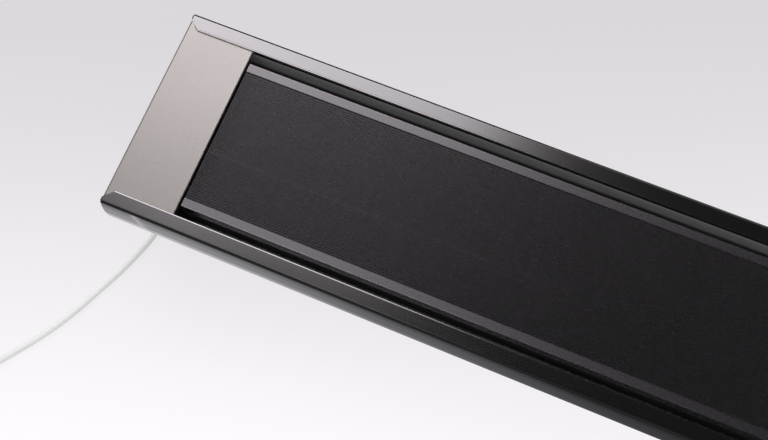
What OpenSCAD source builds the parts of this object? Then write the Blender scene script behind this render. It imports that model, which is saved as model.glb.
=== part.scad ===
// Infrared patio heater with a tilting wall mount, in millimetres.
// X runs along the heater, Y across it and Z up. It lies on its wall brackets
// with the radiant panel facing up, and the wall side is at Z = 0.

/* [Body] */
// Length of the heater body
body_l = 1000; // [800:10:1400]
// Width of the heater body over its crowned sides
body_w = 205; // [201:1:235]
// Depth of the heater body from front to back
body_d = 52; // [51:1:62]

/* [Side rails] */
// Width of a side rail's flat lip
rail_w = 13.4; // [11:0.1:15]
// How far each side swells between front and back
crown = 3.4; // [2:0.1:4]
// Thickness of a rail's outer wall
rail_t = 1.8; // [1.4:0.1:2.2]
// Thickness of a rail's inner wall and its screw ledges
rail_in_t = 1.6; // [1.2:0.1:2]
// Thickness of a rail's front lip
lip_t = 2; // [1.6:0.1:2.4]
// Radius of a lip's rounded inner edge
lip_r = 1.8; // [1.4:0.1:2]
// Radius of a rail's rounded back edge
back_r = 12; // [12:0.5:15]
// Radius of the small front edges
edge_r = 0.8; // [0.4:0.1:1.2]
// How far the dark seal stands out of its groove
seal_out = 1.4; // [0.5:0.1:1.5]
// Height of the seal groove
groove_h = 3.1; // [3:0.1:5]
// Depth of the seal groove
groove_d = 1; // [0.6:0.1:1.2]

/* [End caps] */
// Length of an end cap's front plate
plate_l = 68.5; // [60:0.5:80]
// How far the front plate reaches into the lips' rounded edges
lip_bite = 0.8; // [0.2:0.1:1]
// Thickness of the end cap sheet
cap_t = 1.5; // [1:0.1:1.8]
// How far the front plate lies under the rail lips
cap_drop = 2.5; // [1.5:0.1:2.8]
// Outer bend radius over the end
bend_r = 2; // [2:0.5:6]
// Outer bend radius at the back
end_r = 9; // [6:0.5:9.5]
// Length of the mitred ear along the heater
ear_l = 10; // [7:0.1:11]
// Gap between an end cap and the rails
cap_gap = 0.5; // [0.3:0.05:0.6]
// Length of the flange on the back
back_flange_l = 30; // [26:1:40]

/* [Radiant panel] */
// Width of the radiant panel
panel_w = 151; // [140:1:156]
// Width of each smooth strip beside the textured field
strip_w = 8.5; // [6:0.5:10]
// How far the panel lies under the rail lips
panel_drop = 5; // [3:0.1:6]
// Thickness of the panel's plate
panel_t = 3; // [2.4:0.1:4]
// Depth of the textured field's recess
field_drop = 0.8; // [0.5:0.1:1]
// Gap between the panel's end and an end cap
panel_gap = 1.8; // [1.2:0.1:4]
// Depth of the panel's side flanges
flange_h = 14; // [12:0.5:15]
// Thickness of the panel's side flanges
flange_t = 2; // [1.5:0.1:2.4]

/* [Heating elements] */
// Diameter of a tubular element
element_d = 8; // [6.5:0.1:8.5]
// Distance between the two legs of a hairpin element
leg_pitch = 34; // [32:1:38]
// Distance of a hairpin's middle from the centre line
hairpin_y = 39; // [38:0.5:42]
// Number of clamp bars along the panel
bar_n = 5; // [3:1:7]
// Thickness of a clamp bar
bar_t = 2.5; // [2:0.1:3]

/* [Inside] */
// Thickness of the insulation board
board_t = 21; // [18:0.5:21.5]
// Thickness of the reflector tray
tray_t = 1.2; // [0.8:0.1:1.5]
// Thickness of the end brackets
stay_t = 1.2; // [0.8:0.1:1.6]

/* [Rear cover] */
// Distance of each T-slot from the centre line
slot_y = 45; // [43:1:48]
// Width of a T-slot's mouth
slot_w = 6.6; // [6.4:0.1:7]
// Thickness of the lips beside the mouth
slot_lip_t = 2.2; // [1.8:0.1:2.4]
// Width of a T-slot's cavity
cavity_w = 11.4; // [11.2:0.1:12]
// Height of a T-slot's cavity
cavity_h = 5; // [4.8:0.1:5.2]

/* [Tilt mount] */
// Distance of each tilt bracket from the heater's end
bracket_in = 250; // [210:5:300]
// Height of the tilt axis over the wall
axis_h = 62; // [60:1:80]
// Distance from the tilt axis to the heater's back
axis_to_back = 18; // [17:0.5:24]
// Thickness of the bracket steel
steel_t = 3; // [2:0.1:3.2]
// Width between the wall bracket's ears
fork_w = 60; // [58:1:70]
// Length of the wall bracket's base
base_l = 100; // [96:1:120]
// Distance between the two wall screw holes
wall_pitch = 76; // [66:1:80]
// Diameter of a wall screw hole
wall_hole_d = 8.5; // [6:0.1:9]
// Radius of the ears round the pivot
ear_r = 12; // [10:0.5:13]
// Diameter of the pivot bolts
pivot_d = 8; // [6:0.1:8.5]
// Thickness of a friction washer
washer_t = 0.8; // [0.6:0.1:0.8]

/* [Terminal box] */
// Length of the terminal box
box_l = 70; // [64:1:90]
// Width of the terminal box
box_w = 80; // [70:1:90]
// Depth of the terminal box with its lid
box_d = 34; // [33:0.5:36]
// Thickness of the box walls
box_t = 2; // [1.5:0.1:2.5]
// Distance of the box's outer end from the heater's end
box_in = 99; // [92:1:104]

/* [Cord] */
// Diameter of the flex
cord_d = 6.5; // [5.5:0.1:6.5]

/* [Hidden] */
$fn = 48;

// Heights
back_z = axis_h + axis_to_back;
front_z = back_z + body_d;
cap_z = front_z - cap_drop;
panel_z = front_z - panel_drop;
plate_back_z = panel_z - panel_t;
mid_z = back_z + body_d / 2;
element_z = plate_back_z - element_d / 2 - 0.2;
bar_z = element_z - element_d / 2 - 0.1;
board_z = bar_z - bar_t - 0.9;
tray_z = board_z - board_t;

// Places across and along the heater
half_l = body_l / 2;
half_w = body_w / 2;
rail_y = half_w - crown;
lip_y = rail_y - rail_w;
foot_w = 2;
cover_y = lip_y - foot_w;
ledge_w = 10;
ledge_y = cover_y - ledge_w;
screw_y = cover_y - ledge_w / 2;
cap_screw_in = 22;
cover_screw_in = 25;
tray_ledge_w = 7;
plate_y = lip_y - cap_gap + lip_bite;
ear_y = plate_y + ear_l;
panel_x = half_l - plate_l - panel_gap;
cover_x = half_l - back_flange_l - cap_gap;
seat_gap = 0.1;
cover_t = cap_t + seat_gap;
ledge_z = back_z + cover_t;

// The crowned side: its radius and centre, and the centre of the fillet that joins it to the back
crown_r = (pow(body_d / 2, 2) + pow(crown, 2)) / (2 * crown);
crown_y = half_w - crown_r;
fillet_z = back_z + back_r;
fillet_y = crown_y + sqrt(pow(crown_r - back_r, 2) - pow(mid_z - fillet_z, 2));
function side_y(z) = crown_y + sqrt(pow(crown_r, 2) - pow(z - mid_z, 2));
groove_z = front_z - edge_r - 0.2 - groove_h / 2;
groove_y = side_y(groove_z);
seal_in = 1;

// Rail screw channels
channel_r = 3;
core_r = 1.5;
channel_y = lip_y + rail_in_t + channel_r - 0.5;
channel_front = 11;
channel_back = 20;
channel_z = [front_z - channel_front, back_z + channel_back];
insert_l = 5;
sink_h = 1.2;
sink_r = 2.3;
plug_screw_l = 12;

// Elements, bars and standoffs
leg_in = hairpin_y - leg_pitch / 2;
leg_out = hairpin_y + leg_pitch / 2;
leg_y = [-leg_out, -leg_in, leg_in, leg_out];
element_r = element_d / 2;
groove_fit = 0.15;
cradle_t = 2;
element_end_x = panel_x + 24;
stud_l = 13;
bend_x = panel_x - leg_pitch / 2 - element_r - 12;
bar_w = 16;
bar_end = 75;
bar_pitch = 2 * (panel_x - bar_end) / (bar_n - 1);
boss_y = [-hairpin_y, 0, hairpin_y];
boss_w = 7;
standoff_r = 4;
standoff_y = 56;

// Terminal compartment and box
stay_x = half_l - plate_l + 7;
stay_foot_l = 12;
box_x = half_l - box_in;
box_x0 = -box_x;
box_bottom = back_z - box_d;
lid_t = 2.5;
gasket_t = 1;
box_floor_z = box_bottom + lid_t + gasket_t;
post_r = 4;
post_in = 6.2;
box_screw_in = 14;
lead_x = -box_x + box_l - box_screw_in;
lead_up_in = 36;
lead_up_x = -half_l + lead_up_in;
lead_z = back_z + 5.8;
lead_d = 3;
grommet_r = 8;
box_screw_y = 24;
pin_x = -element_end_x - stud_l;
stud_in = 52;
stud_x = -stay_x - stay_foot_l - 8;
stud_y = plate_y - stud_in;
cutout_in = 22;
cutout_r = 8;
block_l = 24;
block_w = 42;
block_h = 17;
block_x = box_x0 + 24;
way_pitch = 13;

// Cable gland on the tilt axis
gland_r = 8;
gland_af = 20;
flange_l = 5;
dome_l = 12;
protector_l = 22;
nose_x = -box_x - flange_l - dome_l - protector_l;

// Small screws: [shank radius, head radius, head height]
m3 = [1.45, 2.7, 1.6];
tbolt_r = 3;
tbolt_x = 15;
nut_af = 10;
nut_h = 5;
pivot_af = 13;
pivot_head = 5.3;
pivot_play = 0.3;

// Heater bracket
inner_w = fork_w - 2;
heater_plate_l = 2 * slot_y + 22;
heater_foot = 27;
bracket_x = half_l - bracket_in;

// Cord: the route of the free stretches, chosen by hand, with X from the bend protector's nose
cord_r = cord_d / 2;
RUN = [
    [0, 0, 62], [-8, 0, 62], [-19.5, 0, 59.7], [-29, 0, 53], [-35.7, 0, 43.5], [-38, 0, 32],
    [-38, -2.2, 21], [-38, -8.4, 11.7], [-38, -17.7, 5.5], [-38.3, -29, 3.3], [-39, -44, 3.3],
    [-40, -59, 3.3], [-41.3, -74, 3.3], [-43, -88, 3.3], [-47, -103, 3.3], [-52, -118, 3.3],
    [-57.5, -133, 3.3], [-64, -148, 3.3], [-71, -164, 3.3], [-78, -180, 3.3], [-86, -196, 3.3],
    [-95, -212, 3.3], [-104.5, -227, 3.3], [-115, -242, 3.4], [-125, -256, 3.7], [-134, -268.5, 4.1],
    [-143, -280.5, 4.4], [-148.1, -287.3, 4.4]
];
TAIL = [
    [-239.3, -256.88, 11.4], [-239.3, -250, 11.4], [-239.8, -240, 9.8], [-240.6, -230, 6.4],
    [-241.6, -220, 3.8], [-242.6, -210, 4.2], [-243.4, -200, 7.6], [-243.9, -190, 12.6],
    [-244, -181, 16.9], [-244, -172, 19], [-244, -165, 19]
];

// Coil: two layers of loops that spiral in and out again
coil_start = [-152, -292.5];
coil_angle = -36.87;
coil_z = 4.4;
coil_r = 48.5;
coil_turns = 5.3976;
coil_step = cord_d + 0.5;
coil_centre = coil_start - coil_r * [cos(coil_angle), sin(coil_angle)];
RINGS_A_TURN = 24;
tie_t = 0.8;
tie_w = 8;

// Plug, lying on its rim
plug_x = -244;
plug_r = 19;
plug_y = -165;
plug_l = 52;
pin_l = 19;
pin_pitch = 19;

// Lays a section drawn in Y and Z along X
module along_x(x0, x1) {
    translate([x0, 0, 0]) rotate([90, 0, 90]) linear_extrude(x1 - x0) children();
}

// Lays a section drawn in X and Z along Y
module along_y(y0, y1) {
    translate([0, y1, 0]) rotate([90, 0, 0]) linear_extrude(y1 - y0) children();
}

module both_sides() {
    children();
    mirror([0, 1, 0]) children();
}

module both_ends() {
    children();
    mirror([1, 0, 0]) children();
}

// A rectangle given by its two opposite corners
module span(a, b) {
    translate(a) square(b - a);
}

// What a rounded corner takes away; quadrant 0 is the corner at high X and high Y
module corner_cut(x, y, r, quadrant) {
    translate([x, y]) rotate(90 * quadrant) difference() {
        translate([-r, -r]) square(r + 1);
        translate([-r, -r]) circle(r);
    }
}

// A straight round rod from a to b
module rod(a, b, r) {
    d = b - a;
    translate(a) rotate([0, acos(d[2] / norm(d)), atan2(d[1], d[0])]) cylinder(h = norm(d), r = r);
}

module hexagon(af, h) {
    cylinder(h = h, r = af / sqrt(3), $fn = 6);
}

// A pan head screw whose head stands on Z = 0 and whose shank points up
module screw_up(size, length) {
    translate([0, 0, -size[2]]) difference() {
        cylinder(h = size[2], r = size[1]);
        translate([0, 0, -0.1]) hexagon(size[0] * 1.5, size[2] * 0.6);
    }
    cylinder(h = length, r = size[0]);
}

// What the rounded corners of the left end take away
module end_rounding() {
    along_y(-body_w, body_w) {
        corner_cut(-half_l, front_z, bend_r, 1);
        corner_cut(-half_l, back_z, end_r, 2);
    }
}

// Plan of the left end cap's reach: a plate with two mitred ears
module cap_plan(length, side, gap) {
    x0 = -half_l;
    polygon([
        [x0 - 1, -ear_y - gap], [x0, -ear_y - gap], [x0 + ear_l + gap, -side - gap],
        [x0 + length, -side - gap], [x0 + length, side + gap], [x0 + ear_l + gap, side + gap],
        [x0, ear_y + gap], [x0 - 1, ear_y + gap]
    ]);
}

module cap_reach(gap) {
    translate([0, 0, mid_z]) linear_extrude(body_d) cap_plan(plate_l + gap, plate_y, gap);
    translate([0, 0, mid_z - body_d]) linear_extrude(body_d)
        cap_plan(back_flange_l + gap, cover_y - cap_gap, gap);
}

// The space inside the bent sheet of the left end cap, in X and Z
module cap_inside(inset) {
    x0 = -half_l + inset;
    z0 = back_z + inset;
    z1 = cap_z - inset;
    difference() {
        span([x0, z0], [0, z1]);
        corner_cut(x0, z1, bend_r - cap_t, 1);
        corner_cut(x0, z0, end_r - cap_t, 2);
    }
}

// Keeps what lies inside the rail's outer side, which is moved in by inset
module inside_rail(inset) {
    fillet = [fillet_y, fillet_z];
    join = unit(fillet - [crown_y, mid_z]);
    reach = 2 * back_r;
    difference() {
        intersection() {
            translate([crown_y, mid_z]) circle(crown_r - inset, $fn = 360);
            children();
        }
        translate(fillet) difference() {
            polygon([[0, 0], [0, -reach], [reach, -reach], reach * join]);
            circle(back_r - inset);
        }
    }
}

module rail_outline() {
    inside_rail(0) difference() {
        union() {
            span([lip_y, back_z], [half_w, front_z]);
            span([cover_y, back_z], [lip_y + 1, ledge_z + rail_in_t]);
            span([ledge_y, ledge_z], [lip_y + 1, ledge_z + rail_in_t]);
            span([lip_y - tray_ledge_w, tray_z - tray_t - rail_in_t], [lip_y + 1, tray_z - tray_t]);
        }
        corner_cut(side_y(front_z - edge_r), front_z, edge_r, 0);
        corner_cut(lip_y, front_z, min(lip_r, lip_t - 0.1), 1);
    }
}

module rail_pocket(inset) {
    back_up = 1.5 + inset;
    inside_rail(rail_t + inset) difference() {
        span([lip_y + rail_in_t + inset, back_z + rail_t + inset], [half_w, front_z - lip_t - inset]);
        translate([groove_y - groove_d - rail_t - inset, groove_z - groove_h / 2 - back_up])
            square([half_w, groove_h + 2 * back_up]);
    }
}

module screw_channels() {
    for (z = channel_z) translate([channel_y, z]) circle(channel_r);
}

// Cross-section of the rail at high Y
module rail_section() {
    difference() {
        union() {
            difference() {
                rail_outline();
                rail_pocket(0);
            }
            screw_channels();
        }
        for (z = channel_z) translate([channel_y, z]) {
            circle(core_r);
            translate([0, -0.7]) square([channel_r + 1, 1.4]);
        }
        span([groove_y - groove_d, groove_z - groove_h / 2], [half_w, groove_z + groove_h / 2]);
    }
}

// What the left end cap takes out of the rails
module cap_room() {
    difference() {
        cap_reach(cap_gap);
        along_y(-body_w, body_w) cap_inside(cover_t);
    }
}

module cover_screw_places() {
    n = 5;
    reach = cover_x - cover_screw_in;
    for (i = [0 : n - 1]) translate([(2 * i / (n - 1) - 1) * reach, screw_y, back_z]) children();
}

module cap_screw_place() {
    translate([-half_l + cap_screw_in, screw_y, back_z]) children();
}

module rail() {
    difference() {
        along_x(-half_l, half_l) rail_section();
        both_ends() end_rounding();
        both_ends() cap_room();
        both_ends() along_x(-half_l - 1, -half_l + insert_l) rail_pocket(0);
        cover_screw_places() cylinder(h = 8, r = m3[0] + 0.1);
        both_ends() cap_screw_place() cylinder(h = 8, r = m3[0] + 0.1);
    }
}

module rail_upper() {
    color("silver") rail();
}

module rail_lower() {
    color("silver") mirror([0, 1, 0]) rail();
}

// The seal fills its groove and stands out as a low bead
module seal() {
    fit = 0.05;
    chord = groove_h / 2 - fit;
    bead_r = (chord * chord + seal_out * seal_out) / (2 * seal_out);
    along_x(-half_l + seal_in, half_l - seal_in) {
        span([groove_y - groove_d + fit, groove_z - chord], [groove_y, groove_z + chord]);
        intersection() {
            translate([groove_y + seal_out - bead_r, groove_z]) circle(bead_r);
            span([groove_y, groove_z - chord], [half_w, groove_z + chord]);
        }
    }
}

module seal_upper() {
    color("black") seal();
}

module seal_lower() {
    color("black") mirror([0, 1, 0]) seal();
}

// Insert that closes the box of a rail, countersunk for its two screws
module rail_plug() {
    fit = 0.1;
    difference() {
        along_x(-half_l, -half_l + insert_l - fit) rail_pocket(fit);
        end_rounding();
        cap_room();
        channel_places() {
            translate([0, 0, -2]) cylinder(h = insert_l + 2, r = core_r + 0.1);
            translate([0, 0, -0.01]) cylinder(h = sink_h, r1 = sink_r + 0.1, r2 = core_r + 0.1);
        }
    }
}

// Points each screw of the left end into its channel
module channel_places() {
    for (z = channel_z) translate([-half_l + cover_t, channel_y, z]) rotate([0, 90, 0]) children();
}

module rail_plugs() {
    color("silver") both_ends() both_sides() rail_plug();
}

module rail_plug_screws() {
    color("gray") both_ends() both_sides() channel_places() {
        cylinder(h = sink_h, r1 = sink_r, r2 = core_r - 0.05);
        cylinder(h = plug_screw_l, r = core_r - 0.05);
    }
}

module cap_section() {
    x1 = -half_l + plate_l;
    fold_r = 0.6;
    difference() {
        span([-half_l, back_z], [x1, cap_z]);
        corner_cut(-half_l, cap_z, bend_r, 1);
        corner_cut(-half_l, back_z, end_r, 2);
        corner_cut(x1, cap_z, fold_r, 0);
        intersection() {
            cap_inside(cap_t);
            span([-half_l, back_z], [x1 - cap_t, cap_z - cap_t]);
        }
        span([x1 - cap_t - 1, back_z - 1], [x1 + 1, plate_back_z + 0.2]);
        span([-half_l + back_flange_l, back_z - 1], [x1 + 1, back_z + cap_t + 1]);
    }
}

module end_cap() {
    difference() {
        intersection() {
            along_y(-body_w / 2, body_w / 2) cap_section();
            cap_reach(0);
        }
        both_sides() {
            cap_screw_place() translate([0, 0, -1]) cylinder(h = 5, r = m3[0] + 0.3);
            // the folded edge stays between the rails
            translate([plate_l - half_l - 2 * cap_t, lip_y - cap_gap, back_z])
                cube([3 * cap_t, ear_l, cap_z - cap_t - back_z]);
        }
    }
}

module end_cap_left() {
    color("gainsboro") end_cap();
}

module end_cap_right() {
    color("gainsboro") mirror([1, 0, 0]) end_cap();
}

module end_cap_screws() {
    color("gray") both_ends() both_sides() cap_screw_place() screw_up(m3, cover_t + 5);
}

// Panel: a plate with element cradles, screw ribs and side flanges on its back
module panel_section() {
    half = panel_w / 2;
    field = half - strip_w;
    rib_z = bar_z;
    cradle = element_r + groove_fit + cradle_t;
    difference() {
        union() {
            span([-half, plate_back_z], [half, panel_z]);
            span([-half, panel_z - flange_h], [-half + flange_t, panel_z]);
            span([half - flange_t, panel_z - flange_h], [half, panel_z]);
            for (y = leg_y) span([y - cradle, element_z - 2], [y + cradle, plate_back_z + 0.1]);
            for (y = boss_y) span([y - boss_w / 2, rib_z], [y + boss_w / 2, plate_back_z + 0.1]);
        }
        span([-field, panel_z - field_drop], [field, panel_z + 1]);
        corner_cut(half, panel_z, edge_r, 0);
        corner_cut(-half, panel_z, edge_r, 1);
        for (y = leg_y) {
            translate([y, element_z]) circle(element_r + groove_fit);
            span([y - element_r - groove_fit, element_z - 3], [y + element_r + groove_fit, element_z]);
        }
        for (y = boss_y) span([y - core_r, rib_z - 1], [y + core_r, plate_back_z - 1]);
    }
}

module radiant_panel() {
    clear_x = bend_x - 6;
    clear_y = panel_w / 2 - flange_t;
    color("dimgray") difference() {
        along_x(-panel_x, panel_x) panel_section();
        translate([clear_x, -clear_y, plate_back_z - 20]) cube([panel_x - clear_x + 1, 2 * clear_y, 20]);
    }
}

module element(side) {
    y0 = side * hairpin_y;
    translate([0, y0, element_z]) {
        for (s = [-1, 1]) translate([-element_end_x, s * leg_pitch / 2, 0]) rotate([0, 90, 0])
            cylinder(h = bend_x + element_end_x, r = element_r);
        translate([bend_x, 0, 0]) rotate([0, 0, -90]) rotate_extrude(angle = 180)
            translate([leg_pitch / 2, 0]) circle(element_r);
    }
}

module element_upper() {
    color("darkslategray") element(1);
}

module element_lower() {
    color("darkslategray") element(-1);
}

// Ceramic bead and terminal stud on each cold end
module element_terminals() {
    bead_r = element_r - 0.5;
    bead_l = 5;
    color("ivory") for (y = leg_y) translate([-element_end_x, y, element_z]) rotate([0, -90, 0])
        rotate_extrude() polygon([
            [0, 0], [bead_r, 0], [bead_r, bead_l], [2, bead_l + 1], [1.8, stud_l], [0, stud_l]
        ]);
}

module element_link() {
    y0 = leg_y[1];
    y1 = leg_y[2];
    color("silver") translate([pin_x, 0, element_z]) rotate([0, -90, 0]) linear_extrude(1.2) {
        span([-3, y0 - 3], [3, y1 + 3]);
    }
}

module bar_places() {
    for (i = [0 : bar_n - 1]) translate([bar_end - panel_x + i * bar_pitch, 0, 0]) children();
}

module clamp_bars() {
    half = panel_w / 2 - flange_t - 0.2;
    color("silver") bar_places() difference() {
        translate([-bar_w / 2, -half, bar_z - bar_t]) cube([bar_w, 2 * half, bar_t]);
        for (y = boss_y) translate([0, y, bar_z - bar_t - 1]) cylinder(h = bar_t + 2, r = core_r + 0.3);
    }
}

module clamp_screws() {
    color("gray") bar_places() for (y = boss_y) translate([0, y, bar_z - bar_t]) {
        translate([0, 0, -0.8]) cylinder(h = 0.8, r = 3);
        cylinder(h = bar_t + 6, r = core_r - 0.05);
    }
}

module standoffs() {
    color("ivory") bar_places() for (y = [-standoff_y, standoff_y]) translate([0, y, tray_z])
        cylinder(h = bar_z - bar_t - tray_z, r = standoff_r);
}

module insulation_board() {
    half = panel_w / 2;
    color("beige") difference() {
        translate([-panel_x, -half, tray_z]) cube([2 * panel_x, 2 * half, board_t]);
        bar_places() for (y = [-standoff_y, standoff_y]) translate([0, y, tray_z - 1])
            cylinder(h = board_t + 2, r = standoff_r + 0.3);
    }
}

module reflector_tray() {
    half = lip_y - 0.2;
    end = half_l - cover_t - 1;
    color("lightgray") difference() {
        translate([-end, -half, tray_z - tray_t]) cube([2 * end, 2 * half, tray_t]);
        translate([lead_up_x, 0, tray_z - tray_t - 1]) cylinder(h = tray_t + 2, r = grommet_r - 1.5);
    }
}

// A Z-shaped stay that carries an end cap's front plate on the tray
module end_stay() {
    half = plate_y - 1;
    top_z = cap_z - cap_t;
    foot_l = stay_foot_l;
    color("lightgray") difference() {
        union() {
            translate([-stay_x, -half, tray_z]) cube([stay_t, 2 * half, top_z - tray_z]);
            translate([-stay_x - foot_l, -half, tray_z]) cube([foot_l + 1, 2 * half, stay_t]);
            translate([-stay_x - foot_l, -half, top_z - stay_t]) cube([foot_l + 1, 2 * half, stay_t]);
        }
        for (y = leg_y) translate([-stay_x - 1, y, element_z]) rotate([0, 90, 0])
            cylinder(h = stay_t + 2, r = element_r + 0.2);
    }
}

module end_stay_left() {
    end_stay();
}

module end_stay_right() {
    mirror([1, 0, 0]) end_stay();
}

module t_channel_outside() {
    wall = 1.8;
    span([-cavity_w / 2 - wall, back_z], [cavity_w / 2 + wall, back_z + slot_lip_t + cavity_h + wall]);
}

module t_channel_inside() {
    span([-cavity_w / 2, back_z + slot_lip_t], [cavity_w / 2, back_z + slot_lip_t + cavity_h]);
    span([-slot_w / 2, back_z - 1], [slot_w / 2, back_z + slot_lip_t + 1]);
}

module cover_section() {
    half = cover_y - 0.2;
    difference() {
        union() {
            span([-half, back_z], [half, ledge_z]);
            for (y = [-slot_y, slot_y]) translate([y, 0]) t_channel_outside();
            for (y = [-22, 22]) span([y - 0.8, back_z], [y + 0.8, back_z + 5]);
        }
        for (y = [-slot_y, slot_y]) translate([y, 0]) t_channel_inside();
    }
}

module box_screw_places() {
    for (x = [box_x0 + box_screw_in, box_x0 + box_l - box_screw_in], y = [-box_screw_y, box_screw_y])
        translate([x, y, back_z]) children();
}

module rear_cover() {
    color("silver") difference() {
        along_x(-cover_x, cover_x) cover_section();
        both_sides() cover_screw_places() translate([0, 0, -1]) cylinder(h = 5, r = m3[0] + 0.3);
        translate([lead_x, 0, back_z - 1]) cylinder(h = 5, r = grommet_r - 1.5);
        box_screw_places() translate([0, 0, -1]) cylinder(h = 5, r = m3[0] + 0.1);
    }
}

module cover_screws() {
    color("gray") both_sides() cover_screw_places() screw_up(m3, cover_t + 5);
}

// Terminal box, open towards the wall
module box_plan(inset) {
    r = 5 - inset / 2;
    x0 = box_x0 + inset;
    x1 = box_x0 + box_l - inset;
    y1 = box_w / 2 - inset;
    difference() {
        span([x0, -y1], [x1, y1]);
        corner_cut(x1, y1, r, 0);
        corner_cut(x0, y1, r, 1);
        corner_cut(x0, -y1, r, 2);
        corner_cut(x1, -y1, r, 3);
    }
}

module post_places() {
    for (x = [box_x0 + post_in, box_x0 + box_l - post_in], y = [-1, 1])
        translate([x, y * (box_w / 2 - post_in), 0]) children();
}

module terminal_box() {
    color("silver") difference() {
        union() {
            difference() {
                translate([0, 0, box_floor_z]) linear_extrude(back_z - box_floor_z) box_plan(0);
                translate([0, 0, box_floor_z - 1]) linear_extrude(back_z - box_floor_z + 1 - box_t)
                    box_plan(box_t);
            }
            post_places() translate([0, 0, box_floor_z]) cylinder(h = back_z - box_floor_z - 1, r = post_r);
        }
        post_places() translate([0, 0, box_floor_z - 1]) cylinder(h = 13, r = m3[0] + 0.1);
        box_screw_places() translate([0, 0, -box_t - 1]) cylinder(h = box_t + 2, r = m3[0] + 0.3);
        translate([lead_x, 0, back_z - box_t - 1]) cylinder(h = box_t + 2, r = grommet_r - 1.5);
        translate([box_x0 - 1, 0, axis_h]) rotate([0, 90, 0]) cylinder(h = box_t + 2, r = gland_r + 0.1);
    }
}

module box_gasket() {
    color("black") translate([0, 0, box_floor_z - gasket_t]) linear_extrude(gasket_t) difference() {
        box_plan(0);
        difference() {
            box_plan(box_t + 1);
            post_places() circle(post_r);
        }
        post_places() circle(m3[0] + 0.3);
    }
}

module box_lid() {
    color("silver") difference() {
        translate([0, 0, box_bottom]) linear_extrude(lid_t) box_plan(0);
        post_places() translate([0, 0, box_bottom - 1]) cylinder(h = lid_t + 2, r = m3[0] + 0.3);
        post_places() translate([0, 0, box_bottom - 1]) cylinder(h = 2.7, r = m3[1] + 0.3);
    }
}

module box_lid_screws() {
    color("gray") post_places() translate([0, 0, box_bottom + 1.7]) screw_up(m3, gasket_t + 9);
}

module box_mount_screws() {
    color("gray") box_screw_places() translate([0, 0, -box_t]) screw_up(m3, box_t + cover_t + 2);
}

// The gland's axis is the tilt axis, so that a tilt only twists the flex
module gland_along(x) {
    translate([x, 0, axis_h]) rotate([0, -90, 0]) children();
}

module gland_body() {
    color("dimgray") {
        gland_along(-box_x) hexagon(gland_af, flange_l);
        gland_along(-box_x + box_t + 6) cylinder(h = box_t + 7, r = gland_r);
    }
}

module gland_locknut() {
    color("dimgray") gland_along(-box_x + box_t + 4.2) difference() {
        hexagon(gland_af, 4);
        translate([0, 0, -1]) cylinder(h = 7, r = gland_r + 0.05);
    }
}

module gland_dome_nut() {
    color("dimgray") gland_along(-box_x - flange_l) intersection() {
        hexagon(gland_af, dome_l);
        rotate_extrude() polygon([[0, 0], [12, 0], [12, 6], [8.5, dome_l], [0, dome_l]]);
    }
}

// Tapered bend protector with grip rings; the flex leaves at its nose
module bend_protector() {
    rings = 4;
    root_r = 6.4;
    nose_r = cord_r + 1;
    color("white") gland_along(-box_x - flange_l - dome_l) rotate_extrude() difference() {
        polygon([[0, 0], [root_r, 0], [nose_r, protector_l], [0, protector_l]]);
        for (i = [0 : rings - 1]) translate([nose_r, 5 + i * 4]) square([root_r, 1.6]);
    }
}

// Ceramic terminal block with three ways and wire bores
module terminal_block() {
    color("ivory") translate([block_x, 0, back_z - box_t - block_h]) difference() {
        translate([0, -block_w / 2, 0]) cube([block_l, block_w, block_h]);
        for (k = [-1, 0, 1]) translate([-1, way_pitch * k, 8]) rotate([0, 90, 0])
            cylinder(h = block_l + 2, r = 2.2);
        for (y = [-6.5, 6.5]) translate([-1, y - 1, -1]) cube([block_l + 2, 2, 7]);
    }
}

// Snap-disc thermal cut-out on the left stay's foot
module thermal_cutout() {
    disc_h = 9;
    color("black") translate([-stay_x - stay_foot_l - cutout_r - 0.5, cutout_in - plate_y, tray_z]) {
        cylinder(h = disc_h, r = cutout_r);
        translate([-1.5, 0, disc_h]) for (k = [-1, 1]) translate([0, 5 * k - 0.4, 0]) cube([3, 0.8, 8]);
    }
}

module earth_stud() {
    color("goldenrod") translate([stud_x, stud_y, tray_z]) {
        cylinder(h = 12, r = 2.5);
        hexagon(9, 4);
    }
}

// Grommets in the rear cover with the box, and in the tray
module grommet(z0, z1) {
    translate([0, 0, z0]) difference() {
        union() {
            cylinder(h = z1 - z0, r = grommet_r - 1.6);
            translate([0, 0, z1 - z0]) cylinder(h = 1.5, r = grommet_r);
        }
        translate([0, 0, -1]) cylinder(h = z1 - z0 + 4, r = grommet_r - 2.8);
    }
}

module lead_grommets() {
    color("black") {
        translate([lead_x, 0, 0]) grommet(back_z - box_t, ledge_z);
        translate([lead_up_x, 0, 0]) grommet(tray_z - tray_t, tray_z);
    }
}

// Three leads from the terminal block: to the two elements, and the third to the earth stud
module inner_leads() {
    block_z = back_z - box_t - block_h + 8;
    pitch = lead_d + 0.4;
    x0 = lead_x;
    x1 = lead_up_x;
    ends = [
        [[x1, -pitch - 2, tray_z + 6], [pin_x + 7, leg_y[0], element_z - 5.6]],
        [[x1, 0, tray_z + 13], [pin_x + 7, leg_y[3], element_z - 5.6]],
        [[x1, pitch + 2, tray_z + 5.5], [stud_x, stud_y - 5.8, tray_z + 8]]
    ];
    color("firebrick") for (k = [0 : 2]) {
        y = pitch * (k - 1);
        way_y = way_pitch * (k - 1);
        tube(concat([
            [block_x + block_l - 4, way_y, block_z], [x0 - 7, way_y, block_z],
            [x0, 8 * (k - 1), block_z + 1], [x0, y, block_z + 5], [x0, y, lead_z - 3], [x0 - 3, y, lead_z],
            [x1 + 3, y, lead_z], [x1, y, lead_z + 3], [x1, y, tray_z + 4]
        ], ends[k]), lead_d / 2, 8);
    }
}

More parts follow.
